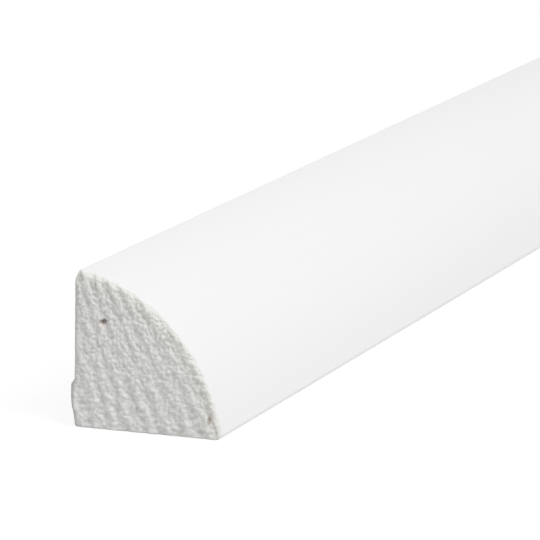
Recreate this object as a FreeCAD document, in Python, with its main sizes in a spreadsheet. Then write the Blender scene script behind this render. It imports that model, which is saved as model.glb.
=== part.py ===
"""Quarter round moulding: one length of white foamed plastic trim, as it lies on the floor.

X runs along the length, the flat wall face looks to +Y, the rounded face to -Y, and the floor face lies
at Z = 0. The origin is in the middle of the length, under the middle of the floor leg.
"""

import math
import os

import FreeCAD
import Part
import Sketcher

# Driving dimensions in millimetres: name, value, what it measures
DIMENSIONS = [
    ("stock_length", 2438.4, "length as sold, eight feet"),
    ("wall_leg", 19.05, "overall height up the wall, three quarters of an inch"),
    ("floor_leg", 19.05, "overall depth along the floor, three quarters of an inch"),
    ("face_radius", 22.225, "radius of the rounded face, flatter than a true quarter circle"),
    ("top_edge_radius", 0.55, "rounding where the face meets the wall"),
    ("toe_edge_radius", 0.55, "rounding where the face meets the floor"),
    ("heel_radius", 0.3, "rounding of the hidden corner between wall and floor"),
]

SHEET = "Dimensions"
START = 1
END = 2
CENTRE = 3
HORIZONTAL_AXIS = -1
ORIGIN = (-1, 1)


def make_sheet(doc):
    """Write the driving dimensions to a spreadsheet and return their values by name."""
    sheet = doc.addObject("Spreadsheet::Sheet", SHEET)
    for row, (name, value, meaning) in enumerate(DIMENSIONS, start=1):
        sheet.set(f"A{row}", meaning)
        sheet.set(f"B{row}", str(value))
        sheet.setAlias(f"B{row}", name)
    doc.recompute()
    return {name: float(sheet.get(name)) for name, _, _ in DIMENSIONS}


def face_centre(size, top, toe):
    """Centre of the face arc, which holds both edge arcs inside it and touches them."""
    to_top = size["face_radius"] - size["top_edge_radius"]
    to_toe = size["face_radius"] - size["toe_edge_radius"]
    apart = toe - top
    along = (to_top**2 - to_toe**2 + apart.Length**2) / (2 * apart.Length)
    aside = math.sqrt(to_top**2 - along**2)
    chord = FreeCAD.Vector(apart).normalize()
    towards_heel = FreeCAD.Vector(-chord.y, chord.x, 0)
    return top + chord * along + towards_heel * aside


def direction(start, end):
    """Angle from one point of the section to another."""
    return math.atan2(end.y - start.y, end.x - start.x)


def arc(centre, radius, first, last):
    """Arc of a circle in the section, anticlockwise from the first angle to the last."""
    circle = Part.Circle(centre, FreeCAD.Vector(0, 0, 1), radius)
    return Part.ArcOfCircle(circle, first, last)


def draw_section(sketch, size):
    """Draw the closed section, anticlockwise from the heel, and return its pieces by name."""
    wall = size["floor_leg"] / 2
    heel_r = size["heel_radius"]
    top_r = size["top_edge_radius"]
    toe_r = size["toe_edge_radius"]
    heel = FreeCAD.Vector(wall - heel_r, heel_r, 0)
    top = FreeCAD.Vector(wall - top_r, size["wall_leg"] - top_r, 0)
    toe = FreeCAD.Vector(toe_r - wall, toe_r, 0)
    face = face_centre(size, top, toe)
    face_start = direction(face, top)
    face_end = direction(face, toe)

    wall_line = Part.LineSegment(FreeCAD.Vector(wall, heel.y, 0), FreeCAD.Vector(wall, top.y, 0))
    floor_line = Part.LineSegment(FreeCAD.Vector(toe.x, 0, 0), FreeCAD.Vector(heel.x, 0, 0))
    return {
        "wall": sketch.addGeometry(wall_line),
        "top": sketch.addGeometry(arc(top, top_r, 0, face_start)),
        "face": sketch.addGeometry(arc(face, size["face_radius"], face_start, face_end)),
        "toe": sketch.addGeometry(arc(toe, toe_r, face_end, 1.5 * math.pi)),
        "floor": sketch.addGeometry(floor_line),
        "heel": sketch.addGeometry(arc(heel, heel_r, 1.5 * math.pi, 2 * math.pi)),
    }


def bind(sketch, name, rule, kind, *places):
    """Add a constraint with its size as drawn, and let the spreadsheet drive it from then on."""
    if kind == "Radius":
        drawn = sketch.Geometry[places[0]].Radius
    else:
        step = sketch.getPoint(*places[2:]) - sketch.getPoint(*places[:2])
        drawn = step.x if kind == "DistanceX" else step.y
    index = sketch.addConstraint(Sketcher.Constraint(kind, *places, drawn))
    sketch.renameConstraint(index, name)
    sketch.setExpression(f"Constraints.{name}", rule)


def constrain_section(sketch, piece):
    """Join the pieces of the section smoothly and bind every size of it to the spreadsheet."""
    ring = list(piece.values())
    for one, following in zip(ring, ring[1:] + ring[:1]):
        sketch.addConstraint(Sketcher.Constraint("Tangent", one, END, following, START))
    sketch.addConstraint(Sketcher.Constraint("Vertical", piece["wall"]))
    sketch.addConstraint(Sketcher.Constraint("Horizontal", piece["floor"]))
    sketch.addConstraint(Sketcher.Constraint("PointOnObject", piece["floor"], START, HORIZONTAL_AXIS))

    half_leg = f"{SHEET}.floor_leg / 2"
    toe_rule = f"{half_leg} - {SHEET}.toe_edge_radius"
    top_rule = f"{SHEET}.wall_leg - {SHEET}.top_edge_radius"
    bind(sketch, "wall_place", half_leg, "DistanceX", *ORIGIN, piece["wall"], END)
    bind(sketch, "toe_place", toe_rule, "DistanceX", piece["toe"], CENTRE, *ORIGIN)
    bind(sketch, "top_height", top_rule, "DistanceY", *ORIGIN, piece["top"], CENTRE)
    bind(sketch, "face_curve", f"{SHEET}.face_radius", "Radius", piece["face"])
    bind(sketch, "top_rounding", f"{SHEET}.top_edge_radius", "Radius", piece["top"])
    bind(sketch, "toe_rounding", f"{SHEET}.toe_edge_radius", "Radius", piece["toe"])
    bind(sketch, "heel_rounding", f"{SHEET}.heel_radius", "Radius", piece["heel"])


def make_moulding(doc, size):
    """Extrude the section both ways from the middle of the length."""
    body = doc.addObject("PartDesign::Body", "quarter_round")
    body.Label = "quarter_round"
    section_plane = next(item for item in body.Origin.OriginFeatures if item.Role == "YZ_Plane")
    section = body.newObject("Sketcher::SketchObject", "section")
    section.AttachmentSupport = [(section_plane, "")]
    section.MapMode = "FlatFace"
    constrain_section(section, draw_section(section, size))
    doc.recompute()

    length = body.newObject("PartDesign::Pad", "length")
    length.Profile = section
    length.SideType = "Symmetric"
    length.setExpression("Length", f"{SHEET}.stock_length")
    doc.recompute()
    return body


def check(doc, bodies):
    """Stop if anything in the document failed to build."""
    for item in doc.Objects:
        faults = [state for state in item.State if state in ("Invalid", "Error")]
        if faults:
            raise RuntimeError(f"{item.Label}: {faults}")
    for body in bodies:
        if body.Shape.isNull() or not body.Shape.isValid():
            raise RuntimeError(f"{body.Label} has no valid shape")


def export(bodies):
    """Write each sub-part to a file that has its name."""
    os.makedirs("parts", exist_ok=True)
    for body in bodies:
        body.Shape.exportStep(f"parts/{body.Label}.step")
        box = body.Shape.BoundBox
        size = f"{box.XLength:.2f} x {box.YLength:.2f} x {box.ZLength:.2f} mm"
        print(f"{body.Label}: {size}, {body.Shape.Volume / 1000:.1f} cm3, {len(body.Shape.Faces)} faces")


doc = FreeCAD.newDocument("QuarterRound")
bodies = [make_moulding(doc, make_sheet(doc))]
check(doc, bodies)
export(bodies)
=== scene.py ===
# %% [markdown]
# Quarter round moulding
#
# A quarter round covers the joint of floor and wall. This one is a length of white foamed polystyrene:
# the plastic is pushed through a die, its outside closes to a smooth satin skin, and a saw cuts the strip
# to length, which opens the foam and leaves a rough grey-white end. The lesson makes the whole strip from
# its section with Geometry Nodes, gives the skin and the sawn ends a finish each, and sets up a plain
# studio.

# %% Load the frame
import math

import bmesh
import bpy
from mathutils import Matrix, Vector


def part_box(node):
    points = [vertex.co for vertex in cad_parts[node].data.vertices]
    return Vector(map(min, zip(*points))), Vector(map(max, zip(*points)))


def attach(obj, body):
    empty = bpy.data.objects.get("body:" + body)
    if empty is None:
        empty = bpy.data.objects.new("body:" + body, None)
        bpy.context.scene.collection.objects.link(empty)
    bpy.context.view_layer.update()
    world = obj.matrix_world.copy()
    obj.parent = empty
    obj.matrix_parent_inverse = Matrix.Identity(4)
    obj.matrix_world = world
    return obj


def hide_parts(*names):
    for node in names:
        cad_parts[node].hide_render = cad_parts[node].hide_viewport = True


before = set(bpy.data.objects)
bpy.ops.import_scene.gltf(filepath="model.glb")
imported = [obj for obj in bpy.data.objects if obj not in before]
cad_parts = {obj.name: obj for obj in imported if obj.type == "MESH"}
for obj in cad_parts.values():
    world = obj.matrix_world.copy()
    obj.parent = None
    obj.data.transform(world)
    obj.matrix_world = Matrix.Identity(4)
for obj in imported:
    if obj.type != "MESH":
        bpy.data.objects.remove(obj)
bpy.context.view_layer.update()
MM = 0.001

low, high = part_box("quarter_round")
LENGTH, FLOOR_LEG, WALL_LEG = high - low
print(f"strip: {LENGTH / MM:.1f} mm long, legs {FLOOR_LEG / MM:.2f} x {WALL_LEG / MM:.2f} mm")

# %% [markdown]
# The section
#
# Seen from its end, the strip is a face arc that runs into a small rounded edge at the top and at the
# toe, two straight legs and a nearly sharp heel. It could be drawn as one closed curve. Here it is four
# curves, because a patch with four sides can be filled with an even grid of faces, and the rough sawn
# ends need such a grid. The patch's corners are in the middle of the heel, of the toe's edge, of the face
# and of the top edge.

# %% Find the circles of the section
WALL_Y = high.y
FACE_RADIUS = 22.225 * MM
EDGE_RADIUS = 0.55 * MM
HEEL_RADIUS = 0.3 * MM

# Points of the section are pairs of Y and Z
heel_centre = Vector((WALL_Y - HEEL_RADIUS, HEEL_RADIUS))
top_centre = Vector((WALL_Y - EDGE_RADIUS, WALL_LEG - EDGE_RADIUS))
toe_centre = Vector((low.y + EDGE_RADIUS, EDGE_RADIUS))
chord = toe_centre - top_centre
reach = math.sqrt((FACE_RADIUS - EDGE_RADIUS) ** 2 - (chord.length / 2) ** 2)
towards_heel = Vector((-chord.y, chord.x)).normalized()
face_centre = (top_centre + toe_centre) / 2 + reach * towards_heel
print(f"face circle: radius {FACE_RADIUS / MM:.2f} mm, centre {-face_centre.y / MM:.2f} mm below the floor")

# %% Find the angles where the circles meet
TO_FLOOR = math.radians(270)
TO_HEEL = math.radians(315)
TO_WALL = math.radians(360)

top_step = top_centre - face_centre
toe_step = toe_centre - face_centre
to_top = math.atan2(top_step.y, top_step.x)
to_toe = math.atan2(toe_step.y, toe_step.x)
top_middle = to_top / 2
toe_middle = (to_toe + TO_FLOOR) / 2
face_middle = (to_top + to_toe) / 2
print(f"face arc: from {math.degrees(to_top):.1f} to {math.degrees(to_toe):.1f} degrees")

# %% Work out the four sides of the section
ARC_STEP = math.radians(0.2)


def arc(centre, radius, first, last):
    """Points of an arc in the section, from the first angle to the last."""
    count = 1 + int(abs(last - first) / ARC_STEP)
    turns = [first + (last - first) * step / count for step in range(count + 1)]
    return [centre + radius * Vector((math.cos(turn), math.sin(turn))) for turn in turns]


heel = (heel_centre, HEEL_RADIUS)
top = (top_centre, EDGE_RADIUS)
toe = (toe_centre, EDGE_RADIUS)
face = (face_centre, FACE_RADIUS)
SIDES = {
    "floor": arc(*heel, TO_HEEL, TO_FLOOR) + arc(*toe, TO_FLOOR, toe_middle),
    "lower face": arc(*toe, toe_middle, to_toe) + arc(*face, to_toe, face_middle),
    "upper face": arc(*top, top_middle, to_top) + arc(*face, to_top, face_middle),
    "wall": arc(*heel, TO_HEEL, TO_WALL) + arc(*top, 0, top_middle),
}
print("section sides:", {name: len(side) for name, side in SIDES.items()}, "points")

# %% Draw the sides as curves
section_curve = bpy.data.curves.new("section", "CURVE")
section_curve.dimensions = "3D"
for side in SIDES.values():
    spline = section_curve.splines.new("POLY")
    spline.points.add(len(side) - 1)
    for point, (y, z) in zip(spline.points, side):
        point.co = (0, y, z, 1)
section = bpy.data.objects.new("section", section_curve)
bpy.context.scene.collection.objects.link(section)
print(f"{section.name}: {len(section_curve.splines)} curves")

# %% [markdown]
# One way to add a node
#
# Node trees are easier to read in a script when every node is added in one line: what kind it is, what
# feeds its inputs, and its settings. A feed is a plain value, a node, whose first output is meant, or one
# output.


# %% Start the strip's tree with its first node
def add(group, kind, feeds=None, **settings):
    """Add a node to a node group. Feeds go to its inputs by name or by number."""
    node = group.nodes.new(kind)
    for name, value in settings.items():
        setattr(node, name, value)
    for key, value in (feeds or {}).items():
        shown = [socket for socket in node.inputs if socket.enabled]
        socket = shown[key] if isinstance(key, int) else next(s for s in shown if s.name == key)
        if isinstance(value, bpy.types.Node):
            value = next(output for output in value.outputs if output.enabled)
        if isinstance(value, bpy.types.NodeSocket):
            group.links.new(value, socket)
        else:
            socket.default_value = value
    return node


tree = bpy.data.node_groups.new("sawn_strip", "GeometryNodeTree")
tree.interface.new_socket("Strip", in_out="OUTPUT", socket_type="NodeSocketGeometry")
position = add(tree, "GeometryNodeInputPosition")
print(f"{tree.name}: started with the node {position.name}")

# %% [markdown]
# The strip as a tree of Geometry Nodes
#
# The strip follows a simple rule: one section, carried along a straight line and sawn off at both ends.
# It could be modelled by hand and bevelled, but a tree keeps the rule in sight and lets every size be set
# again. Its inputs are the sizes of the mesh, of the saw cut and of the foam that the cut tears open.

# %% Name the tree's inputs
SETTINGS = {
    "Section": section,
    "Length": LENGTH,
    "Cells per side": 178,
    "Rows": 40,
    "Lean of the cut": math.radians(1.9),
    "Skew of the cut": math.radians(1.0),
    "Saw mark spacing": 1.9 * MM,
    "Saw mark depth": 0.24 * MM,
    "Lump size": 0.9 * MM,
    "Lump depth": 0.3 * MM,
    "Cell size": 0.5 * MM,
    "Cell depth": 0.455 * MM,
    "Edge wear": 0.6 * MM,
    "Burr": 0.565 * MM,
    "Seed": 8.0,
    "Skin": bpy.data.materials.new("extruded_polystyrene_skin"),
    "Sawn foam": bpy.data.materials.new("sawn_polystyrene_foam"),
}
SOCKETS = {float: "Float", int: "Int", bpy.types.Object: "Object", bpy.types.Material: "Material"}
socket_ids = {}
for name, value in SETTINGS.items():
    kind = next(word for held, word in SOCKETS.items() if isinstance(value, held))
    made = tree.interface.new_socket(name, in_out="INPUT", socket_type=f"NodeSocket{kind}")
    socket_ids[name] = made.identifier
given = add(tree, "NodeGroupInput").outputs
print("strip tree inputs:", ", ".join(socket_ids))

# %% [markdown]
# The end sheet
#
# A sawn end starts as a flat sheet. For a clean cut one face with many corners would do, but torn foam
# needs points all over, so a square grid is laid over the section. Each of its points is placed between
# the four sides: halfway across the square it lies halfway between the sides, and on its border it lies
# on them. Two ways of crossing the square are added up, and the way through the corners is taken off.

# %% Find points on the four sides
SQUARE_MIDDLE = (0.5, 0.5, 0)
FLOOR_SIDE, LOWER_FACE, UPPER_FACE, WALL_SIDE = range(len(SIDES))

points_per_side = add(tree, "ShaderNodeMath", {0: given["Cells per side"], 1: 1.0}, operation="ADD")
square = add(
    tree,
    "GeometryNodeMeshGrid",
    {"Size X": 1.0, "Size Y": 1.0, "Vertices X": points_per_side, "Vertices Y": points_per_side},
)
in_square = add(tree, "ShaderNodeVectorMath", {0: position, 1: SQUARE_MIDDLE}, operation="ADD")
share = add(tree, "ShaderNodeSeparateXYZ", {0: in_square}).outputs
sides = add(tree, "GeometryNodeObjectInfo", {"Object": given["Section"]}).outputs["Geometry"]
SIDE_POINTS = {
    "floor": (FLOOR_SIDE, share["X"]),
    "upper face": (UPPER_FACE, share["X"]),
    "wall": (WALL_SIDE, share["Y"]),
    "lower face": (LOWER_FACE, share["Y"]),
    "heel": (FLOOR_SIDE, 0.0),
    "toe": (FLOOR_SIDE, 1.0),
    "top": (UPPER_FACE, 0.0),
    "face middle": (UPPER_FACE, 1.0),
}
on = {}
for name, (side, factor) in SIDE_POINTS.items():
    feeds = {"Curves": sides, "Factor": factor, "Curve Index": side}
    sample = add(tree, "GeometryNodeSampleCurve", feeds, mode="FACTOR", use_all_curves=False)
    on[name] = sample.outputs["Position"]
print("points found on the sides:", ", ".join(on))

# %% Fill the sides with a patch
BLENDS = {
    "floor to face": ("Y", "floor", "upper face"),
    "wall to face": ("X", "wall", "lower face"),
    "heel to toe": ("X", "heel", "toe"),
    "top to face middle": ("X", "top", "face middle"),
    "through the corners": ("Y", "heel to toe", "top to face middle"),
}
for name, (way, start, end) in BLENDS.items():
    feeds = {"Factor": share[way], "A": on[start], "B": on[end]}
    on[name] = add(tree, "ShaderNodeMix", feeds, data_type="VECTOR")
feeds = {0: on["floor to face"], 1: on["wall to face"]}
both_ways = add(tree, "ShaderNodeVectorMath", feeds, operation="ADD")
feeds = {0: both_ways, 1: on["through the corners"]}
patch_point = add(tree, "ShaderNodeVectorMath", feeds, operation="SUBTRACT")
sheet = add(tree, "GeometryNodeSetPosition", {"Geometry": square, "Position": patch_point})
print("end sheet:", SETTINGS["Cells per side"] ** 2, "faces")

# %% [markdown]
# The skin
#
# The smooth outside runs from one end to the other. Extruding the sheet would make it too, but with rows
# of one length. Here a second grid takes one column for each point of the sheet's border, which is the
# section's outline, so the skin meets the sheets exactly and the seams can be merged. Its rows lie close
# together near the ends, where the saw has worn the edge, and far apart in the middle, where nothing
# changes.

# %% Lay a band with one column for each point of the outline
SIDES_AROUND = 4.0
HALF_TURN = 0.5

edge_faces = add(tree, "GeometryNodeInputMeshEdgeNeighbors")
on_border = add(tree, "FunctionNodeCompare", {"A": edge_faces, "B": 1}, data_type="INT", operation="EQUAL")
outline = add(tree, "GeometryNodeMeshToCurve", {"Mesh": sheet, "Selection": on_border})

feeds = {0: given["Cells per side"], 1: SIDES_AROUND}
cells_around = add(tree, "ShaderNodeMath", feeds, operation="MULTIPLY")
columns = add(tree, "ShaderNodeMath", {0: cells_around, 1: 1.0}, operation="ADD")
feeds = {"Size X": 1.0, "Size Y": 2.0, "Vertices X": columns, "Vertices Y": given["Rows"]}
band = add(tree, "GeometryNodeMeshGrid", feeds)
in_band = add(tree, "ShaderNodeSeparateXYZ", {0: position}).outputs
turn_share = add(tree, "ShaderNodeMath", {0: in_band["X"], 1: HALF_TURN}, operation="ADD")
column = add(tree, "ShaderNodeMath", {0: turn_share, 1: cells_around}, operation="MULTIPLY")
whole_column = add(tree, "ShaderNodeMath", {0: column}, operation="ROUND")
same_column = add(tree, "ShaderNodeMath", {0: whole_column, 1: cells_around}, operation="MODULO")
feeds = {"Geometry": outline, "Value": position, "Index": same_column}
outline_point = add(tree, "GeometryNodeSampleIndex", feeds, data_type="FLOAT_VECTOR")
outline_place = add(tree, "ShaderNodeSeparateXYZ", {0: outline_point}).outputs
print("skin:", int(SIDES_AROUND) * SETTINGS["Cells per side"], "columns around the section")

# %% Space the band's rows
ROW_GROWTH = 9.5
WIDEST = math.exp(ROW_GROWTH)

half_length = add(tree, "ShaderNodeMath", {0: given["Length"], 1: 0.5}, operation="MULTIPLY")
row_place = add(tree, "ShaderNodeMath", {0: in_band["Y"]}, operation="ABSOLUTE")
row_gap = add(tree, "ShaderNodeMath", {0: 1.0, 1: row_place}, operation="SUBTRACT")
grown = add(tree, "ShaderNodeMath", {0: row_gap, 1: ROW_GROWTH}, operation="MULTIPLY")
ratio = add(tree, "ShaderNodeMath", {0: grown}, operation="EXPONENT")
feeds = {0: ratio, 1: -1 / (WIDEST - 1), 2: WIDEST / (WIDEST - 1)}
row_share = add(tree, "ShaderNodeMath", feeds, operation="MULTIPLY_ADD")
row_x = add(tree, "ShaderNodeMath", {0: row_share, 1: half_length}, operation="MULTIPLY")
row_side = add(tree, "ShaderNodeMath", {0: in_band["Y"]}, operation="SIGN")
signed_x = add(tree, "ShaderNodeMath", {0: row_x, 1: row_side}, operation="MULTIPLY")
feeds = {"X": signed_x, "Y": outline_place["Y"], "Z": outline_place["Z"]}
skin_point = add(tree, "ShaderNodeCombineXYZ", feeds)
first_gap = 2 / (SETTINGS["Rows"] - 1)
first_row = LENGTH / 2 * (math.exp(ROW_GROWTH * first_gap) - 1) / (WIDEST - 1)
print(f"skin: {SETTINGS['Rows']} rows along the length, the first {first_row / MM:.3f} mm from the end")

# %% [markdown]
# A map for the colours
#
# Whoever uses the strip in a game or a viewer gets its colours as a picture, which needs a flat map of
# the surface. Laid out by size, the long skin would take nearly all of it. This map gives each small sawn
# end, where the colours vary, a quarter of the picture, and the plain skin the rest.

# %% Map the two end sheets and set them at their ends
BAKE_MAP = "OFBake"
SAWN = "sawn"
NEAR_END, FAR_END = -1, 1
MAP_HALF = 0.5
MAP_EDGE = 0.02
MAP_SHARE = MAP_HALF - 2 * MAP_EDGE

in_section = add(tree, "ShaderNodeSeparateXYZ", {0: position}).outputs
section_flat = add(tree, "ShaderNodeCombineXYZ", {"X": in_section["Y"], "Y": in_section["Z"]})
sheets = {}
for side in (NEAR_END, FAR_END):
    map_start = MAP_EDGE if side == NEAR_END else MAP_HALF + MAP_EDGE
    feeds = {
        0: section_flat,
        1: (MAP_SHARE / FLOOR_LEG, MAP_SHARE / WALL_LEG, 0),
        2: (map_start - low.y * MAP_SHARE / FLOOR_LEG, MAP_HALF + MAP_EDGE, 0),
    }
    sheet_map = add(tree, "ShaderNodeVectorMath", feeds, operation="MULTIPLY_ADD")
    feeds = {"Geometry": sheet, "Name": BAKE_MAP, "Value": sheet_map}
    mapped = add(tree, "GeometryNodeStoreNamedAttribute", feeds, data_type="FLOAT2", domain="CORNER")
    feeds = {"Geometry": mapped, "Name": SAWN, "Value": True}
    marked = add(tree, "GeometryNodeStoreNamedAttribute", feeds, data_type="BOOLEAN", domain="FACE")
    end_x = add(tree, "ShaderNodeMath", {0: half_length, 1: side}, operation="MULTIPLY")
    to_end = add(tree, "ShaderNodeCombineXYZ", {"X": end_x})
    sheets[side] = add(tree, "GeometryNodeSetPosition", {"Geometry": marked, "Offset": to_end})
sheets[FAR_END] = add(tree, "GeometryNodeFlipFaces", {"Mesh": sheets[FAR_END]})
print(f"map: {MAP_SHARE:.2f} x {MAP_SHARE:.2f} of the picture for each end")

# %% Map the skin and close the strip
SEAM = 0.001 * MM

map_along = {0: in_band["Y"], 1: MAP_HALF - MAP_EDGE, 2: MAP_HALF}
map_around = {0: in_band["X"], 1: MAP_SHARE, 2: MAP_HALF / 2}
feeds = {
    "X": add(tree, "ShaderNodeMath", map_along, operation="MULTIPLY_ADD"),
    "Y": add(tree, "ShaderNodeMath", map_around, operation="MULTIPLY_ADD"),
}
skin_map = add(tree, "ShaderNodeCombineXYZ", feeds)
feeds = {"Geometry": band, "Name": BAKE_MAP, "Value": skin_map}
skin_mapped = add(tree, "GeometryNodeStoreNamedAttribute", feeds, data_type="FLOAT2", domain="CORNER")
skin = add(tree, "GeometryNodeSetPosition", {"Geometry": skin_mapped, "Position": skin_point})

joined = add(tree, "GeometryNodeJoinGeometry")
for part in (skin, sheets[NEAR_END], sheets[FAR_END]):
    tree.links.new(part.outputs[0], joined.inputs["Geometry"])
closed = add(tree, "GeometryNodeMergeByDistance", {"Geometry": joined, "Distance": SEAM})
print(f"map: {1 - 2 * MAP_EDGE:.2f} x {MAP_SHARE:.2f} of the picture for the skin")

# %% [markdown]
# The saw marks
#
# The blade leaves a fan of shallow ridges, about two millimetres apart. On this end they run steeply
# across the cut and spread a little towards the floor, so their pattern is laid out around a point above
# the section: one coordinate counts across the marks, the other along them. The marks could be painted as
# bump, but real ridges catch the light from every side. All depths go inwards from the end, so the strip
# keeps its length.

# %% Lay out coordinates across and along the saw marks
FAN_RADIUS = 46 * MM
FAN_MIDDLE = Vector((WALL_Y - 7.5 * MM, 7.5 * MM))
FAN_TILT = math.radians(23)

fan_centre = FAN_MIDDLE + FAN_RADIUS * Vector((math.sin(FAN_TILT), math.cos(FAN_TILT)))
place = add(tree, "ShaderNodeSeparateXYZ", {0: position}).outputs
flat_place = add(tree, "ShaderNodeCombineXYZ", {"Y": place["Y"], "Z": place["Z"]})
from_fan = add(tree, "ShaderNodeVectorMath", {0: flat_place, 1: (0, *fan_centre)}, operation="SUBTRACT")
fan_place = add(tree, "ShaderNodeSeparateXYZ", {0: from_fan}).outputs
fan_turn = add(tree, "ShaderNodeMath", {0: fan_place["Z"], 1: fan_place["Y"]}, operation="ARCTAN2")
across_marks = add(tree, "ShaderNodeMath", {0: fan_turn, 1: FAN_RADIUS}, operation="MULTIPLY")
along_marks = add(tree, "ShaderNodeVectorMath", {0: from_fan}, operation="LENGTH").outputs["Value"]
print(f"saw marks: fan out from a point {fan_centre.y / MM:.1f} mm above the floor")

# %% Scale a pattern to each kind of mark
ENDS_APART = 40.0
WOBBLE_SIZE = 3.0 * MM
# The width of each pattern across the marks, and how many times longer it is along them
PATTERN_SIZES = {
    "wobble": (WOBBLE_SIZE, 2.0),
    "lump": (given["Lump size"], 1.4),
    "cell": (given["Cell size"], 0.9),
}

end_sign = add(tree, "ShaderNodeMath", {0: place["X"]}, operation="SIGN")
feeds = {0: end_sign, 1: ENDS_APART, 2: given["Seed"]}
end_number = add(tree, "ShaderNodeMath", feeds, operation="MULTIPLY_ADD")
patterns = {}
for name, (width, stretch) in PATTERN_SIZES.items():
    by_width = add(tree, "ShaderNodeMath", {0: across_marks, 1: width}, operation="DIVIDE")
    pattern_length = add(tree, "ShaderNodeMath", {0: width, 1: stretch}, operation="MULTIPLY")
    by_length = add(tree, "ShaderNodeMath", {0: along_marks, 1: pattern_length}, operation="DIVIDE")
    feeds = {"X": by_width, "Y": by_length, "Z": end_number}
    patterns[name] = add(tree, "ShaderNodeCombineXYZ", feeds)
print("patterns on the cut:", ", ".join(patterns))

# %% Draw the saw marks as wobbling waves
WOBBLE_TURN = 5.0

wobble = add(tree, "ShaderNodeTexNoise", {"Vector": patterns["wobble"], "Scale": 1.0, "Detail": 1.0})
feeds = {0: across_marks, 1: given["Saw mark spacing"]}
mark_number = add(tree, "ShaderNodeMath", feeds, operation="DIVIDE")
mark_turn = add(tree, "ShaderNodeMath", {0: mark_number, 1: math.tau}, operation="MULTIPLY")
wobbled = add(tree, "ShaderNodeMath", {0: wobble, 1: WOBBLE_TURN, 2: mark_turn}, operation="MULTIPLY_ADD")
wave = add(tree, "ShaderNodeMath", {0: wobbled}, operation="SINE")
ridge = add(tree, "ShaderNodeMath", {0: wave, 1: 0.5, 2: 0.5}, operation="MULTIPLY_ADD")
print(f"saw marks: about {FLOOR_LEG / SETTINGS['Saw mark spacing']:.0f} across the floor leg")

# %% [markdown]
# Torn foam
#
# Between the ridges the teeth tear the foam into lumps about a millimetre across, and open the cells
# inside them. A sculptor would push these in by hand. Two sizes of noise do the same for both ends: a
# soft one for the lumps and a finer one, mixed with rounded grains, for the cells. The saw bites least at
# half height.

# %% Tear lumps and cells
GRAINS_PER_CELL = 0.8
GRAIN_SMOOTHNESS = 0.4
GRAIN_SHARE = 0.35

lump = add(tree, "ShaderNodeTexNoise", {"Vector": patterns["lump"], "Scale": 1.0, "Detail": 2.0})
torn_cell = add(tree, "ShaderNodeTexNoise", {"Vector": patterns["cell"], "Scale": 1.0, "Detail": 1.0})
feeds = {"Vector": patterns["cell"], "Scale": GRAINS_PER_CELL, "Smoothness": GRAIN_SMOOTHNESS}
cell_grain = add(tree, "ShaderNodeTexVoronoi", feeds, feature="SMOOTH_F1")
feeds = {0: cell_grain, 1: GRAIN_SHARE, 2: torn_cell}
cell = add(tree, "ShaderNodeMath", feeds, operation="MULTIPLY_ADD")
print(f"lumps {SETTINGS['Lump size'] / MM:.1f} mm and cells {SETTINGS['Cell size'] / MM:.1f} mm across")

# %% Add up the depth of the cut
CALM_HEIGHT = 9.5 * MM
LEAST_BITE = 0.7
MOST_BITE = 1.5
DEEPEST = sum(SETTINGS[name] for name in ("Saw mark depth", "Lump depth", "Cell depth"))

from_level = add(tree, "ShaderNodeMath", {0: place["Z"], 1: CALM_HEIGHT}, operation="SUBTRACT")
off_level = add(tree, "ShaderNodeMath", {0: from_level}, operation="ABSOLUTE")
feeds = {"Value": off_level, "From Max": CALM_HEIGHT, "To Min": LEAST_BITE, "To Max": MOST_BITE}
bite = add(tree, "ShaderNodeMapRange", feeds)
broken_ridge = add(tree, "ShaderNodeMath", {0: ridge, 1: lump}, operation="MULTIPLY")
bitten = add(tree, "ShaderNodeMath", {0: broken_ridge, 1: bite}, operation="MULTIPLY")
torn_depth = add(tree, "ShaderNodeMath", {0: bitten, 1: given["Saw mark depth"]}, operation="MULTIPLY")
for pattern, depth in ((lump, given["Lump depth"]), (cell, given["Cell depth"])):
    feeds = {0: pattern, 1: depth, 2: torn_depth}
    torn_depth = add(tree, "ShaderNodeMath", feeds, operation="MULTIPLY_ADD")
print(f"cut: up to about {DEEPEST / MM:.2f} mm deep")

# %% [markdown]
# Dense foam next to the skin
#
# The foam grows denser towards the skin, so the saw cuts it more cleanly there: the tears are shallower,
# and the colour is a little warmer. Each point's distance from the face and from the two legs is enough
# to know how dense the foam is, so no second mesh is needed for it.

# %% Spare the dense foam
MEAN_TEAR = 0.52 * MM
WARM_WIDTH = 2.8 * MM

from_wall = add(tree, "ShaderNodeMath", {0: WALL_Y, 1: place["Y"]}, operation="SUBTRACT")
from_leg = add(tree, "ShaderNodeMath", {0: from_wall, 1: place["Z"]}, operation="MINIMUM")
feeds = {0: flat_place, 1: (0, *face_centre)}
from_face_centre = add(tree, "ShaderNodeVectorMath", feeds, operation="DISTANCE").outputs["Value"]
from_face = add(tree, "ShaderNodeMath", {0: FACE_RADIUS, 1: from_face_centre}, operation="SUBTRACT")
# How wide the dense foam is by each side, and what share of the tearing is left at the skin
DENSE_FOAM = (
    (from_face, 0.9 * MM, 0.5),
    (from_leg, 0.5 * MM, 0.6),
)
spared_depth = torn_depth
for distance, width, least in DENSE_FOAM:
    feeds = {"Value": distance, "From Max": width, "To Min": least, "To Max": 1.0}
    torn_share = add(tree, "ShaderNodeMapRange", feeds, interpolation_type="SMOOTHSTEP")
    spared_depth = add(tree, "ShaderNodeMix", {"Factor": torn_share, "A": MEAN_TEAR, "B": spared_depth})
feeds = {"Value": from_face, "From Max": WARM_WIDTH, "To Min": 1.0, "To Max": 0.0}
near_skin = add(tree, "ShaderNodeMapRange", feeds)
print(f"dense foam: torn {MEAN_TEAR / MM:.2f} mm deep on average, warmer for {WARM_WIDTH / MM:.1f} mm")

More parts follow.
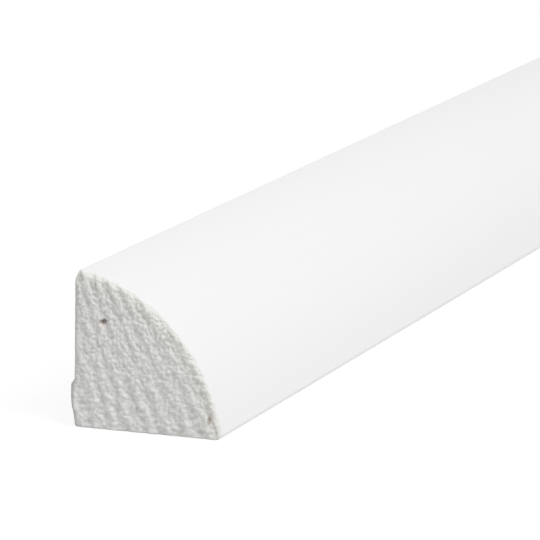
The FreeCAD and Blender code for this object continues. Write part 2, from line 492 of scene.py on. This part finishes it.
# %% [markdown]
# The edge of the cut
#
# A saw never leaves a sharp edge on foam. Crumbs break off, most of all where a saw mark runs out, and
# the edge ends up rounded and notched. A bevel would give every edge the same width. Here the wear is a
# depth that grows towards the edge, and its width changes with the saw marks and with a noise of its own.

# %% Chip the edge unevenly
CHIP_SIZE = 0.7 * MM
NOTCH = 0.8

chip_place = add(tree, "ShaderNodeVectorMath", {0: flat_place, "Scale": 1 / CHIP_SIZE}, operation="SCALE")
chips = add(tree, "ShaderNodeTexNoise", {"Vector": chip_place, "Scale": 1.0, "Detail": 1.0})
feeds = {"Value": chips, "From Min": 0.3, "From Max": 0.7, "To Min": 0.1, "To Max": 1.1}
chipped = add(tree, "ShaderNodeMapRange", feeds)
uneven = add(tree, "ShaderNodeMath", {0: ridge, 1: NOTCH, 2: chipped}, operation="MULTIPLY_ADD")
print(f"edge: chips about {CHIP_SIZE / MM:.1f} mm long, deeper where a saw mark runs out")

# %% Lay a pale rim along the face
RIM_WIDTH = 1.0 * MM
RIM_LEAST = 0.3
# The rim widens between these distances from the wall and from the floor
RIM_GROWTH = (
    (from_wall, 0.4 * MM, 2.2 * MM),
    (place["Z"], 2.0 * MM, 6.0 * MM),
)

rim_share = uneven
for distance, start, end in RIM_GROWTH:
    feeds = {"Value": distance, "From Min": start, "From Max": end, "To Min": RIM_LEAST, "To Max": 1.0}
    begun = add(tree, "ShaderNodeMapRange", feeds, interpolation_type="SMOOTHSTEP")
    rim_share = add(tree, "ShaderNodeMath", {0: rim_share, 1: begun}, operation="MULTIPLY")
rim_width = add(tree, "ShaderNodeMath", {0: rim_share, 1: RIM_WIDTH}, operation="MULTIPLY")
feeds = {"Value": from_face, "From Max": rim_width, "To Min": 1.0, "To Max": 0.0}
rim = add(tree, "ShaderNodeMapRange", feeds)
print(f"rim: about {RIM_WIDTH / MM:.1f} mm wide along the face, {RIM_LEAST} of that by the legs")

# %% Wear the edges down
WALL_WEAR = 0.5 * MM
FLOOR_WEAR = 0.3 * MM
CORNER_WEAR = 1.6 * MM
EDGE_SLOPE = 0.9
TOP_CORNER = (0, WALL_Y, WALL_LEG)

face_wear = add(tree, "ShaderNodeMath", {0: rim_share, 1: given["Edge wear"]}, operation="MULTIPLY")
corner = add(tree, "ShaderNodeVectorMath", {0: flat_place, 1: TOP_CORNER}, operation="DISTANCE")
from_corner = corner.outputs["Value"]
WORN_EDGES = (
    (from_face, face_wear),
    (from_wall, WALL_WEAR),
    (place["Z"], FLOOR_WEAR),
    (from_corner, CORNER_WEAR),
)
cut_depth = spared_depth
for distance, width in WORN_EDGES:
    share_in = add(tree, "ShaderNodeMath", {0: distance, 1: width}, operation="DIVIDE")
    into_edge = add(tree, "ShaderNodeMath", {0: 1.0, 1: share_in}, operation="SUBTRACT", use_clamp=True)
    squared = add(tree, "ShaderNodeMath", {0: into_edge, 1: into_edge}, operation="MULTIPLY")
    drop = add(tree, "ShaderNodeMath", {0: width, 1: EDGE_SLOPE / 2}, operation="MULTIPLY")
    cut_depth = add(tree, "ShaderNodeMath", {0: squared, 1: drop, 2: cut_depth}, operation="MULTIPLY_ADD")
wall_drop = EDGE_SLOPE * WALL_WEAR / 2
print(f"edge: worn {wall_drop / MM:.2f} mm back along the wall")

# %% [markdown]
# Two specks
#
# Two bits of dirt sit in the near end, a dark speck near the top and a brown fleck by the toe, each in a
# small pit. They could be meshes of their own, but they are part of the foam, so the pits are sunk here,
# and the foam's finish colours them later.

# %% Sink a pit under each speck
SPECK = (3.88, 13.17)
FLECK = (17.62, 2.35)
PIT_RADIUS = 0.4 * MM
PIT_DEPTH = 0.12 * MM


def on_section(across, up):
    """Point of the section, from millimetres off the wall and above the floor."""
    return 0, WALL_Y - across * MM, up * MM


is_near = add(tree, "ShaderNodeMath", {0: place["X"], 1: 0.0}, operation="LESS_THAN")
for speck in (SPECK, FLECK):
    feeds = {0: flat_place, 1: on_section(*speck)}
    from_speck = add(tree, "ShaderNodeVectorMath", feeds, operation="DISTANCE").outputs["Value"]
    feeds = {"Value": from_speck, "From Max": PIT_RADIUS, "To Min": PIT_DEPTH, "To Max": 0.0}
    pit = add(tree, "ShaderNodeMapRange", feeds, interpolation_type="SMOOTHSTEP")
    cut_depth = add(tree, "ShaderNodeMath", {0: pit, 1: is_near, 2: cut_depth}, operation="MULTIPLY_ADD")
print("pits:", SPECK, "and", FLECK, "mm from the wall and the floor")

# %% [markdown]
# A slanted cut
#
# The near end was not cut quite square. It leans back towards the top and runs back towards the wall, by
# a degree or two. Turning the sheet would tear it off the skin, and a boolean cut would spoil the grid.
# So each point of the end moves inwards by its share of the slant and by the depth of the cut, and the
# skin follows with less and less of both, until it is smooth and straight a little way along.

# %% Slant the near cut and let the skin follow
FOLLOW = {"cut": 6.0 * MM, "slant": 40 * MM, "burr": 3.0 * MM}
FOLLOW_POWER = 2.0

from_toe = add(tree, "ShaderNodeMath", {0: place["Y"], 1: low.y}, operation="SUBTRACT")
skew = add(tree, "ShaderNodeMath", {0: given["Skew of the cut"]}, operation="TANGENT")
lean = add(tree, "ShaderNodeMath", {0: given["Lean of the cut"]}, operation="TANGENT")
skewed = add(tree, "ShaderNodeMath", {0: from_toe, 1: skew}, operation="MULTIPLY")
leaning = add(tree, "ShaderNodeMath", {0: place["Z"], 1: lean, 2: skewed}, operation="MULTIPLY_ADD")
slant = add(tree, "ShaderNodeMath", {0: leaning, 1: is_near}, operation="MULTIPLY")

from_middle = add(tree, "ShaderNodeMath", {0: place["X"]}, operation="ABSOLUTE")
from_end = add(tree, "ShaderNodeMath", {0: half_length, 1: from_middle}, operation="SUBTRACT")
follow = {}
for name, distance in FOLLOW.items():
    feeds = {"Value": from_end, "From Max": distance, "To Min": 1.0, "To Max": 0.0}
    fade = add(tree, "ShaderNodeMapRange", feeds)
    follow[name] = add(tree, "ShaderNodeMath", {0: fade, 1: FOLLOW_POWER}, operation="POWER")
inwards = add(tree, "ShaderNodeMath", {0: cut_depth, 1: follow["cut"]}, operation="MULTIPLY")
inwards = add(tree, "ShaderNodeMath", {0: slant, 1: follow["slant"], 2: inwards}, operation="MULTIPLY_ADD")
lean_back = WALL_LEG * math.tan(SETTINGS["Lean of the cut"])
print(f"near cut: leans {lean_back / MM:.2f} mm back at the top")

# %% [markdown]
# The skin at the cut
#
# Beside the cut the skin bends in over the foam, most at the top corner, and a narrow margin of it is
# painted greyer, as shade that softens the bend into the shaded end. A bevel and a painted line could show
# this, but they would be too even. Here both depend on the distance from the end and take their unevenness
# from the chipped edge. The points move towards the heel, which never carries them out of the section.

# %% Round the skin over the edge
ROUNDING = 0.14 * MM
ROUNDING_LENGTH = 0.75 * MM
ROUNDING_ZONE = 1.4 * MM
CORNER_ZONE = 2.5 * MM
TOP_SHARE = 1.9
TOE_SHARE = 0.5
HEEL_CORNER = (0, WALL_Y, 0)

feeds = {"Value": from_end, "From Max": ROUNDING_LENGTH, "To Min": 1.0, "To Max": 0.0}
near_end = add(tree, "ShaderNodeMapRange", feeds)
feeds = {"Value": from_face, "From Max": ROUNDING_ZONE, "To Min": 1.0, "To Max": 0.0}
near_face = add(tree, "ShaderNodeMapRange", feeds)
rounding = add(tree, "ShaderNodeMath", {0: uneven, 1: ROUNDING}, operation="MULTIPLY")
for distance, corner_share in ((from_wall, TOP_SHARE), (place["Z"], TOE_SHARE)):
    feeds = {"Value": distance, "From Max": CORNER_ZONE, "To Min": corner_share, "To Max": 1.0}
    by_corner = add(tree, "ShaderNodeMapRange", feeds, interpolation_type="SMOOTHSTEP")
    rounding = add(tree, "ShaderNodeMath", {0: rounding, 1: by_corner}, operation="MULTIPLY")
for nearness in (near_end, near_end, near_face, near_face):
    rounding = add(tree, "ShaderNodeMath", {0: rounding, 1: nearness}, operation="MULTIPLY")
to_heel = add(tree, "ShaderNodeVectorMath", {0: HEEL_CORNER, 1: flat_place}, operation="SUBTRACT")
heelwards = add(tree, "ShaderNodeVectorMath", {0: to_heel}, operation="NORMALIZE")
rounded = add(tree, "ShaderNodeVectorMath", {0: heelwards, "Scale": rounding}, operation="SCALE")
print(f"skin: bends in by about {ROUNDING / MM:.2f} mm, {TOP_SHARE} times that at the top")

# %% Pull the top corner in and paint shade on the skin's margin
CORNER_PULL = Vector((0, -0.12, -0.1)) * MM
PULL_ZONE = 1.2 * MM
SHADE_MARGIN_WIDTH = 0.6 * MM

feeds = {"Value": from_corner, "From Max": PULL_ZONE, "To Min": 1.0, "To Max": 0.0}
near_corner = add(tree, "ShaderNodeMapRange", feeds, interpolation_type="SMOOTHSTEP")
pull = add(tree, "ShaderNodeMath", {0: near_corner, 1: near_end}, operation="MULTIPLY")
pulled = add(tree, "ShaderNodeVectorMath", {0: CORNER_PULL, "Scale": pull}, operation="SCALE")
bent = add(tree, "ShaderNodeVectorMath", {0: rounded, 1: pulled}, operation="ADD")
shade_margin_width = add(tree, "ShaderNodeMath", {0: uneven, 1: SHADE_MARGIN_WIDTH}, operation="MULTIPLY")
feeds = {"Value": from_end, "From Max": shade_margin_width, "To Min": 1.0, "To Max": 0.0}
scuffed = add(tree, "ShaderNodeMapRange", feeds)
print(f"skin: scuffed for about {SHADE_MARGIN_WIDTH / MM:.1f} mm beside the cut")

# %% [markdown]
# The burr
#
# Low on the wall edge the saw pushed a little foam out sideways and left a thin burr. It could be a
# separate lump, but it grew out of the edge, so the edge itself is moved: out past the wall face between
# two heights, while the end behind it sinks a little. A grey band of painted shade runs along the wall
# edge, darkest at the burr.

# %% Ramp the burr up and down
BURR_RISE = (0.2 * MM, 3.2 * MM)
BURR_FALL = (5.0 * MM, 6.0 * MM)
BURR_DEPTH = (0.0, 2.5 * MM)
SUNK_EDGE = (0.9 * MM, 1.3 * MM)
LIP_EDGE = (0.0, 0.45 * MM)
# Each ramp's distance, where it starts and ends, and its values there
RAMPS = {
    "rise": (place["Z"], BURR_RISE, 0.0, 1.0),
    "fall": (place["Z"], BURR_FALL, 1.0, 0.0),
    "depth": (from_wall, BURR_DEPTH, 1.0, 0.0),
    "sunk": (from_wall, SUNK_EDGE, 1.0, 0.0),
    "lip": (from_wall, LIP_EDGE, 1.0, 0.0),
}

ramp = {}
for name, (distance, (start, end), before, after) in RAMPS.items():
    feeds = {"Value": distance, "From Min": start, "From Max": end, "To Min": before, "To Max": after}
    ramp[name] = add(tree, "ShaderNodeMapRange", feeds, interpolation_type="SMOOTHSTEP")
burr = add(tree, "ShaderNodeMath", {0: ramp["rise"], 1: ramp["fall"]}, operation="MULTIPLY")
burr = add(tree, "ShaderNodeMath", {0: burr, 1: is_near}, operation="MULTIPLY")
print(f"burr: from {BURR_RISE[0] / MM:.1f} to {BURR_FALL[1] / MM:.1f} mm up the wall")

# %% Push the burr out and sink the end behind it
SUNK_DEPTH = 0.07 * MM
LIP_DEPTH = 0.18 * MM
STEPS = {
    "out": (given["Burr"], ramp["depth"], follow["burr"]),
    "sunk": (SUNK_DEPTH, ramp["sunk"], follow["cut"]),
    "lip": (LIP_DEPTH, ramp["lip"], follow["cut"]),
}

steps = {}
for name, limits in STEPS.items():
    steps[name] = burr
    for limit in limits:
        steps[name] = add(tree, "ShaderNodeMath", {0: steps[name], 1: limit}, operation="MULTIPLY")
for name in ("sunk", "lip"):
    inwards = add(tree, "ShaderNodeMath", {0: inwards, 1: steps[name]}, operation="ADD")
print(f"burr: {SETTINGS['Burr'] / MM:.3f} mm out of the wall face")

# %% Paint shade along the wall edge
SHADE_BAND_WIDTH = 0.7 * MM
SHADE_BAND_TOP = (WALL_LEG - 1.6 * MM, WALL_LEG - 0.6 * MM)

# Painted shade along the wall edge, strongest at the burr and fading out below the top
feeds = {"Value": from_wall, "From Max": SHADE_BAND_WIDTH, "To Min": 1.0, "To Max": 0.0}
by_wall_edge = add(tree, "ShaderNodeMapRange", feeds)
feeds = {
    "Value": place["Z"],
    "From Min": SHADE_BAND_TOP[0],
    "From Max": SHADE_BAND_TOP[1],
    "To Min": 1.0,
    "To Max": 0.0,
}
below_top = add(tree, "ShaderNodeMapRange", feeds, interpolation_type="SMOOTHSTEP")
shade_most = add(tree, "ShaderNodeMath", {0: burr, 1: 1.0}, operation="ADD")
pressed = add(tree, "ShaderNodeMath", {0: by_wall_edge, 1: shade_most}, operation="MULTIPLY")
pressed = add(tree, "ShaderNodeMath", {0: pressed, 1: below_top}, operation="MULTIPLY")
print(f"wall edge: pressed {SHADE_BAND_WIDTH / MM:.1f} mm wide, up to {SHADE_BAND_TOP[1] / MM:.1f} mm")

# %% [markdown]
# Finishing the tree
#
# All that is left is to move the points at once and to say which faces are skin and which are sawn foam.
# The depth of the cut and the other shares are kept on the mesh as attributes, so that the finishes can
# follow them. A material could work them out again, but then the shape and its colours could drift apart.

# %% Move the points and set the materials
CUT_DEPTH = "cut_depth"
RIM = "rim"
PAINTED_WALL_SHADE = "pressed"
NEAR_SKIN = "near_skin"
PAINTED_SKIN_SHADE = "scuffed"
NOTES = {CUT_DEPTH: torn_depth, RIM: rim, PAINTED_WALL_SHADE: pressed, NEAR_SKIN: near_skin, PAINTED_SKIN_SHADE: scuffed}

outwards = add(tree, "ShaderNodeMath", {0: inwards, 1: -1.0}, operation="MULTIPLY")
step_x = add(tree, "ShaderNodeMath", {0: outwards, 1: end_sign}, operation="MULTIPLY")
cut_step = add(tree, "ShaderNodeCombineXYZ", {"X": step_x, "Y": steps["out"]})
whole_step = add(tree, "ShaderNodeVectorMath", {0: cut_step, 1: bent}, operation="ADD")
noted = closed
for name, value in NOTES.items():
    feeds = {"Geometry": noted, "Name": name, "Value": value}
    noted = add(tree, "GeometryNodeStoreNamedAttribute", feeds, data_type="FLOAT", domain="POINT")
cut = add(tree, "GeometryNodeSetPosition", {"Geometry": noted, "Offset": whole_step})
smooth = add(tree, "GeometryNodeSetShadeSmooth", {"Geometry": cut})
is_sawn = add(tree, "GeometryNodeInputNamedAttribute", {"Name": SAWN}, data_type="BOOLEAN")
real = add(tree, "GeometryNodeRealizeInstances", {"Geometry": smooth})
in_skin = add(tree, "GeometryNodeSetMaterial", {"Geometry": real, "Material": given["Skin"]})
feeds = {"Geometry": in_skin, "Selection": is_sawn, "Material": given["Sawn foam"]}
finished = add(tree, "GeometryNodeSetMaterial", feeds)
add(tree, "NodeGroupOutput", {"Strip": finished})
print("strip tree:", len(tree.nodes), "nodes")

# %% Run the tree and keep its mesh
maker = bpy.data.objects.new("strip_maker", bpy.data.meshes.new("strip_maker"))
bpy.context.scene.collection.objects.link(maker)
modifier = maker.modifiers.new("sawn_strip", "NODES")
modifier.node_group = tree
for name, value in SETTINGS.items():
    modifier[socket_ids[name]] = value
evaluated = maker.evaluated_get(bpy.context.evaluated_depsgraph_get())
strip_mesh = bpy.data.meshes.new_from_object(evaluated)
# The grids come with an empty first material slot
strip_mesh.materials.pop(index=0)
maker.modifiers.remove(modifier)
for helper in (maker, section):
    bpy.data.objects.remove(helper)

strip = bpy.data.objects.new("quarter_round_strip", strip_mesh)
bpy.context.scene.collection.objects.link(strip)
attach(strip, "root")
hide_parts("quarter_round")
print("strip materials:", ", ".join(material.name for material in strip_mesh.materials))

# %% Measure the mesh
CUBIC_CM = 1e-6

shape = bmesh.new()
shape.from_mesh(strip_mesh)
open_edges = sum(not edge.is_manifold for edge in shape.edges)
volume = shape.calc_volume(signed=True)
triangles = sum(len(polygon.verts) - 2 for polygon in shape.faces)
shape.free()
print(f"strip: {triangles} triangles, {open_edges} open edges, {volume / CUBIC_CM:.1f} cm3")

# %% [markdown]
# Extruded polystyrene skin
#
# Where the foam touched the die it closed to a smooth white skin with a satin shine. The die leaves faint
# lines along the strip, which show as a slight change of gloss and hardly as colour. A picture of them
# would have to be very long, so a noise that is stretched along the length draws them. Real ones are
# finer still: these are half a millimetre wide, as coarse as they need to be to show. Beside the cut a
# narrow margin of the skin is painted greyer, as shade that softens its edge into the shaded end.

# %% Draw the die lines
DIE_LINE = 0.5 * MM
DIE_LINE_LENGTH = 2.5

skin_finish = SETTINGS["Skin"]
skin_finish.use_nodes = True
skin_tree = skin_finish.node_tree
skin_tree.nodes.clear()
skin_place = add(skin_tree, "ShaderNodeTexCoord").outputs["Object"]
feeds = {"Vector": skin_place, "Scale": (1 / DIE_LINE_LENGTH, 1 / DIE_LINE, 1 / DIE_LINE)}
along_length = add(skin_tree, "ShaderNodeMapping", feeds)
lines = add(skin_tree, "ShaderNodeTexNoise", {"Vector": along_length, "Scale": 1.0, "Detail": 2.0})
print(f"{skin_finish.name}: die lines {DIE_LINE / MM:.1f} mm wide and {DIE_LINE_LENGTH} m long")

# %% Make the satin of the skin
DIE_LINE_DEPTH = 0.002 * MM
POLYSTYRENE_IOR = 1.59


def linear(code):
    """Linear colour of an sRGB hex value."""
    parts = [int(code[i : i + 2], 16) / 255 for i in (1, 3, 5)]
    return *(p / 12.92 if p <= 0.04045 else ((p + 0.055) / 1.055) ** 2.4 for p in parts), 1.0


feeds = {"Factor": lines, "A": linear("#F5F5F5"), "B": linear("#F7F7F7")}
white = add(skin_tree, "ShaderNodeMix", feeds, data_type="RGBA")
# Beside the cut the skin turns greyer: painted shade along the edge
margin = add(skin_tree, "ShaderNodeAttribute", attribute_name=PAINTED_SKIN_SHADE, attribute_type="GEOMETRY")
feeds = {"Factor": margin.outputs["Fac"], "A": white, "B": linear("#E2E2DD")}
white = add(skin_tree, "ShaderNodeMix", feeds, data_type="RGBA")
gloss = add(skin_tree, "ShaderNodeMapRange", {"Value": lines, "To Min": 0.38, "To Max": 0.5})
feeds = {"Height": lines, "Distance": DIE_LINE_DEPTH, "Strength": 1.0}
line_relief = add(skin_tree, "ShaderNodeBump", feeds)
feeds = {"Base Color": white, "Roughness": gloss, "IOR": POLYSTYRENE_IOR, "Normal": line_relief}
satin = add(skin_tree, "ShaderNodeBsdfPrincipled", feeds)
add(skin_tree, "ShaderNodeOutputMaterial", {"Surface": satin})
print(f"{skin_finish.name}: {len(skin_tree.nodes)} nodes")

# %% [markdown]
# Sawn polystyrene foam
#
# The saw opens the cells of the foam, so the cut has no shine and looks greyer than the skin. Its colour is
# darker where it is torn deep, which is painted shade in the hollows. Next to the face the foam is a little
# warmer, with a paler, uneven rim at the very edge, and a grey band of painted shade runs along the wall
# edge. A painted picture could hold all this, but attributes of the mesh follow the relief exactly.

# %% Colour the foam by depth and by its edges
PIT_SHADE_START = 0.42 * DEEPEST
PIT_SHADE_END = 0.74 * DEEPEST
SHADE_BAND_STRENGTH = 0.5

foam_finish = SETTINGS["Sawn foam"]
foam_finish.use_nodes = True
foam_tree = foam_finish.node_tree
foam_tree.nodes.clear()
kept = {}
for name in (CUT_DEPTH, NEAR_SKIN, RIM, PAINTED_WALL_SHADE):
    attribute = add(foam_tree, "ShaderNodeAttribute", attribute_name=name, attribute_type="GEOMETRY")
    kept[name] = attribute.outputs["Fac"]
# Deeper tears are coloured darker: painted shade in the hollows of the cut
feeds = {"Value": kept[CUT_DEPTH], "From Min": PIT_SHADE_START, "From Max": PIT_SHADE_END}
deep = add(foam_tree, "ShaderNodeMapRange", feeds)
shade_band_share = add(foam_tree, "ShaderNodeMath", {0: kept[PAINTED_WALL_SHADE], 1: SHADE_BAND_STRENGTH}, operation="MULTIPLY")
feeds = {"Factor": deep, "A": linear("#EFEFED"), "B": linear("#DADAD7")}
foam = add(foam_tree, "ShaderNodeMix", feeds, data_type="RGBA")
feeds = {"Factor": kept[NEAR_SKIN], "A": foam, "B": linear("#FFFFFB")}
foam = add(foam_tree, "ShaderNodeMix", feeds, data_type="RGBA", blend_type="MULTIPLY")
# The pale rim, then the painted shade along the wall edge
for factor, code in ((kept[RIM], "#ECECE7"), (shade_band_share, "#BEBEBB")):
    feeds = {"Factor": factor, "A": foam, "B": linear(code)}
    foam = add(foam_tree, "ShaderNodeMix", feeds, data_type="RGBA")
print(f"{foam_finish.name}: darkens from {PIT_SHADE_START / MM:.2f} to {PIT_SHADE_END / MM:.2f} mm deep")

# %% [markdown]
# Stains and a painted highlight in the foam
#
# The dark speck and the brown fleck have discoloured the foam around them, the fleck with a pinkish strip
# along the face. The pale pinkish patch below the speck is partly a pink tint and partly painted highlight
# on the lit side of the speck's pit. They could be painted on the map by hand, but at this size a soft oval
# for each is enough, laid over the foam's colour at its place on the near end.

# %% Stain the foam around the two specks and paint a highlight below the speck
OVAL_CORE = 0.35
# Millimetres off the wall and above the floor, half width and half height, colour and strength
STAINS_AND_HIGHLIGHT = (
    # The pale patch below the speck: a pink tint and a painted highlight on the lit side of its pit
    ((3.60, 12.55), (0.80, 0.38), "#F8ECE8", 0.6),
    ((3.53, 13.13), (0.42, 0.32), "#95847E", 0.5),
    (SPECK, (0.50, 0.46), "#54362F", 0.73),
    ((17.95, 2.60), (0.65, 2.50), "#EADFDA", 0.45),
    (FLECK, (0.32, 0.70), "#8B8370", 0.6),
)

foam_place = add(foam_tree, "ShaderNodeTexCoord").outputs["Object"]
axes = add(foam_tree, "ShaderNodeSeparateXYZ", {0: foam_place}).outputs
flat_foam = add(foam_tree, "ShaderNodeCombineXYZ", {"Y": axes["Y"], "Z": axes["Z"]})
on_near_end = add(foam_tree, "ShaderNodeMath", {0: axes["X"], 1: 0.0}, operation="LESS_THAN")
for spot, (half_width, half_height), code, strength in STAINS_AND_HIGHLIGHT:
    feeds = {0: flat_foam, 1: on_section(*spot)}
    from_spot = add(foam_tree, "ShaderNodeVectorMath", feeds, operation="SUBTRACT")
    by_size = (0, 1 / (half_width * MM), 1 / (half_height * MM))
    in_sizes = add(foam_tree, "ShaderNodeVectorMath", {0: from_spot, 1: by_size}, operation="MULTIPLY")
    distance = add(foam_tree, "ShaderNodeVectorMath", {0: in_sizes}, operation="LENGTH").outputs["Value"]
    feeds = {"Value": distance, "From Min": OVAL_CORE, "From Max": 1.0, "To Min": strength, "To Max": 0.0}
    stain_and_highlight = add(foam_tree, "ShaderNodeMapRange", feeds, interpolation_type="SMOOTHSTEP")
    near_mark = add(foam_tree, "ShaderNodeMath", {0: stain_and_highlight, 1: on_near_end}, operation="MULTIPLY")
    feeds = {"Factor": near_mark, "A": foam, "B": linear(code)}
    foam = add(foam_tree, "ShaderNodeMix", feeds, data_type="RGBA")
print(f"{foam_finish.name}: {len(STAINS_AND_HIGHLIGHT)} stains")

# %% Give the foam its fine grain
GRAIN = 0.22 * MM
GRAIN_DEPTH = 0.06 * MM

grain = add(foam_tree, "ShaderNodeTexNoise", {"Vector": foam_place, "Scale": 1 / GRAIN, "Detail": 1.0})
feeds = {"Height": grain, "Distance": GRAIN_DEPTH, "Strength": 1.0}
grain_relief = add(foam_tree, "ShaderNodeBump", feeds)
feeds = {
    "Base Color": foam,
    "Roughness": 0.85,
    "IOR": POLYSTYRENE_IOR,
    "Specular IOR Level": 0.25,
    "Normal": grain_relief,
}
torn_foam = add(foam_tree, "ShaderNodeBsdfPrincipled", feeds)
add(foam_tree, "ShaderNodeOutputMaterial", {"Surface": torn_foam})
print(f"{foam_finish.name}: grain {GRAIN / MM:.2f} mm wide, {len(foam_tree.nodes)} nodes")

# %% [markdown]
# The floor
#
# The strip lies on a white floor that runs out to a white horizon. The floor is part plain white paint,
# which catches the soft shadow, and part a glow that only the camera and mirror-like surfaces see, so
# that the ground looks white without more light on the strip.

# %% Lay the floor
FLOOR_SIZE = 120.0
FLOOR_GAP = 0.02 * MM

floor_mesh = bpy.data.meshes.new("floor")
far = FLOOR_SIZE / 2
corners = [(x, y, -FLOOR_GAP) for x, y in ((-far, -far), (far, -far), (far, far), (-far, far))]
floor_mesh.from_pydata(corners, [], [range(4)])
floor = bpy.data.objects.new("floor", floor_mesh)
bpy.context.scene.collection.objects.link(floor)
print(f"floor: {FLOOR_SIZE:.0f} m wide, {FLOOR_GAP / MM:.2f} mm below the strip")

# %% Paint the floor
PAINT_SHARE = 0.25
GLOW = 0.845
PALE = linear("#E4E4E4")
PALE_SEEN = tuple(PAINT_SHARE * channel for channel in PALE[:3]) + (1.0,)


def seen(group):
    """Whether a ray comes from the camera or from a mirror-like or clear surface, as a node."""
    ray = add(group, "ShaderNodeLightPath").outputs
    feeds = {0: ray["Is Camera Ray"], 1: ray["Is Glossy Ray"]}
    either = add(group, "ShaderNodeMath", feeds, operation="MAXIMUM")
    return add(group, "ShaderNodeMath", {0: either, 1: ray["Is Transmission Ray"]}, operation="MAXIMUM")


paint = bpy.data.materials.new("matte_white_floor_paint")
paint.use_nodes = True
paint_tree = paint.node_tree
paint_tree.nodes.clear()
floor_seen = seen(paint_tree)
feeds = {"Factor": floor_seen, "A": PALE, "B": PALE_SEEN}
shade = add(paint_tree, "ShaderNodeMix", feeds, data_type="RGBA")
matte = add(paint_tree, "ShaderNodeBsdfDiffuse", {"Color": shade})
glow_strength = add(paint_tree, "ShaderNodeMath", {0: floor_seen, 1: GLOW}, operation="MULTIPLY")
glow = add(paint_tree, "ShaderNodeEmission", {"Color": linear("#FFFFFF"), "Strength": glow_strength})
surface = add(paint_tree, "ShaderNodeAddShader", {0: matte, 1: glow})
add(paint_tree, "ShaderNodeOutputMaterial", {"Surface": surface})
floor_mesh.materials.append(paint)
print(f"{paint.name}: {PAINT_SHARE} of the paint and a glow of {GLOW}")

# %% [markdown]
# The light
#
# A white room fills the shadows, a broad sun from the front and above models the rounded face, and a soft
# box over the near end picks out its relief. One lamp alone would do for the face, but the sawn end then
# looks flat. The room is white to the camera and dimmer as a light.

# %% Fill the room with light
FILL = 0.477

studio = bpy.data.worlds.new("studio")
bpy.context.scene.world = studio
bpy.context.scene.view_settings.view_transform = "Standard"
studio.use_nodes = True
air_tree = studio.node_tree
air_tree.nodes.clear()
feeds = {"Value": seen(air_tree), "To Min": FILL, "To Max": 1.0}
air_strength = add(air_tree, "ShaderNodeMapRange", feeds)
feeds = {"Color": linear("#FFFFFF"), "Strength": air_strength}
air = add(air_tree, "ShaderNodeBackground", feeds)
add(air_tree, "ShaderNodeOutputWorld", {"Surface": air})
print(f"room: white to the camera, {FILL} as a light")

# %% Set the lamps
KEY = 1.19
KEY_SPREAD = math.radians(30)
TO_KEY = Vector((-0.25, -0.6, 0.75))
BOX_POWER = 0.185
BOX_SIZE = 0.2
BOX_DISTANCE = 0.35
TO_BOX = Vector((-0.2, -0.2, 0.95))

key_lamp = bpy.data.lights.new("soft_key", "SUN")
key_lamp.energy = KEY
key_lamp.angle = KEY_SPREAD
key = bpy.data.objects.new("soft_key", key_lamp)
key.rotation_euler = TO_KEY.to_track_quat("Z", "Y").to_euler()
bpy.context.scene.collection.objects.link(key)
box_lamp = bpy.data.lights.new("soft_box", "AREA")
box_lamp.energy = BOX_POWER
box_lamp.size = BOX_SIZE
soft_box = bpy.data.objects.new("soft_box", box_lamp)
soft_box.location = Vector((-LENGTH / 2, 0, 0)) + BOX_DISTANCE * TO_BOX.normalized()
soft_box.rotation_euler = TO_BOX.to_track_quat("Z", "Y").to_euler()
bpy.context.scene.collection.objects.link(soft_box)
print(f"lamps: a sun of {KEY} W/m2 and a soft box of {BOX_POWER} W, {BOX_DISTANCE} m away")

# %% [markdown]
# The camera
#
# The camera looks along the strip from just above the floor, with the sawn end in front. A long lens half
# a metre away keeps the end in its true shape while the strip still narrows into the distance. The view
# is set out from the lowest point of the wall edge at the near end, so it stays the same when the strip's
# length changes.

# %% Set the camera
CAMERA_TURN = math.radians(-68.88)
CAMERA_HEIGHT = math.radians(11.46)
CAMERA_DISTANCE = 515 * MM
CAMERA_LENS = 285.1
AIM_STEP = Vector((11.96, -20.6, 18.44)) * MM

near_x = -LENGTH / 2 + math.tan(SETTINGS["Skew of the cut"]) * FLOOR_LEG + MEAN_TEAR + wall_drop
aim = Vector((near_x, WALL_Y, 0)) + AIM_STEP
level = math.cos(CAMERA_HEIGHT)
look = Vector((-math.sin(CAMERA_TURN) * level, math.cos(CAMERA_TURN) * level, -math.sin(CAMERA_HEIGHT)))
camera_data = bpy.data.cameras.new("camera")
camera_data.lens = CAMERA_LENS
camera_data.sensor_width = 36.0
camera_data.clip_start = 0.01
camera_data.clip_end = 500.0
camera = bpy.data.objects.new("camera", camera_data)
camera.location = aim - CAMERA_DISTANCE * look
camera.rotation_euler = (math.pi / 2 - CAMERA_HEIGHT, 0, CAMERA_TURN)
bpy.context.scene.collection.objects.link(camera)
bpy.context.scene.camera = camera
print(f"camera: {camera.location.z / MM:.0f} mm above the floor, lens {CAMERA_LENS} mm")
